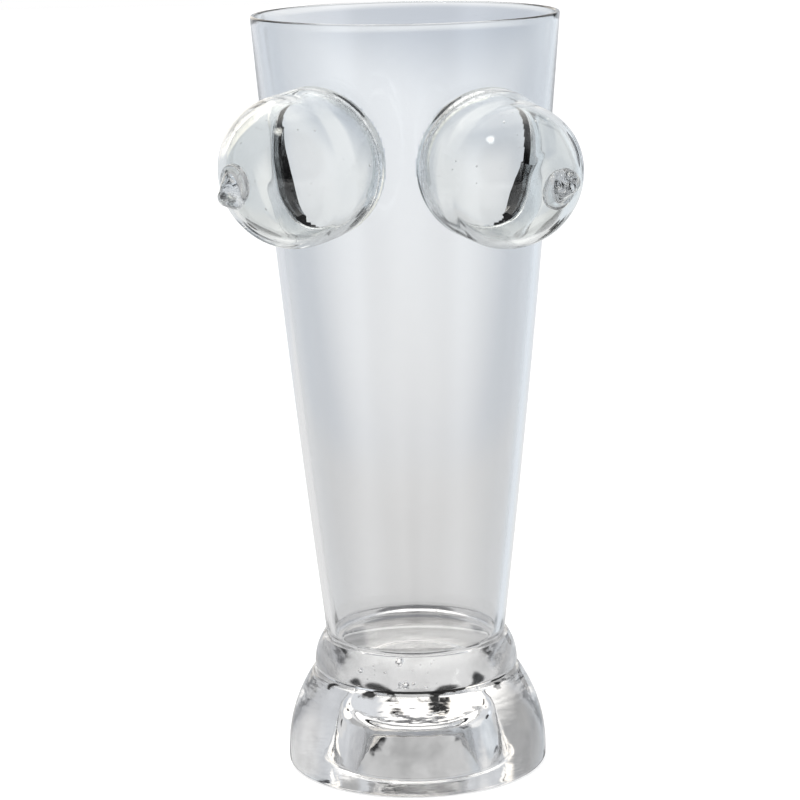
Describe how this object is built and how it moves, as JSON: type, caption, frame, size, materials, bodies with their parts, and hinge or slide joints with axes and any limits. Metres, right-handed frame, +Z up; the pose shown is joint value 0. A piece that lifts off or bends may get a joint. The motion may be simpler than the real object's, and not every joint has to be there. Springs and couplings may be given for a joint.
{
  "type": "beer glass",
  "caption": "Tall tapered clear beer glass: thin bowl set in a rounded knop on a recessed bell-shaped foot, with hollow blown domes and knob tips sealed on below the rim.",
  "frame": {"origin": "on the axis of the glass, in the plane that it rests on", "axes": "+Z up along the axis of the glass, -Y towards the front between the domes, +X to the right of someone facing the front"},
  "size_m": [0.0947, 0.1026, 0.21],
  "materials": {
    "clear_glass": "polished clear soda-lime glass",
    "dome_glass": "clear hand-blown glass with small seeds",
    "seal_glass": "thick clear glass, softened in the flame",
    "tip_glass": "solid clear glass, fire polished"
  },
  "bodies": {
    "root": {"foot": "clear_glass", "knop": "clear_glass", "bowl": "clear_glass", "left_seal_ring": "seal_glass", "left_dome": "dome_glass", "left_tip": "tip_glass", "right_seal_ring": "seal_glass", "right_dome": "dome_glass", "right_tip": "tip_glass"}
  },
  "joints": []
}
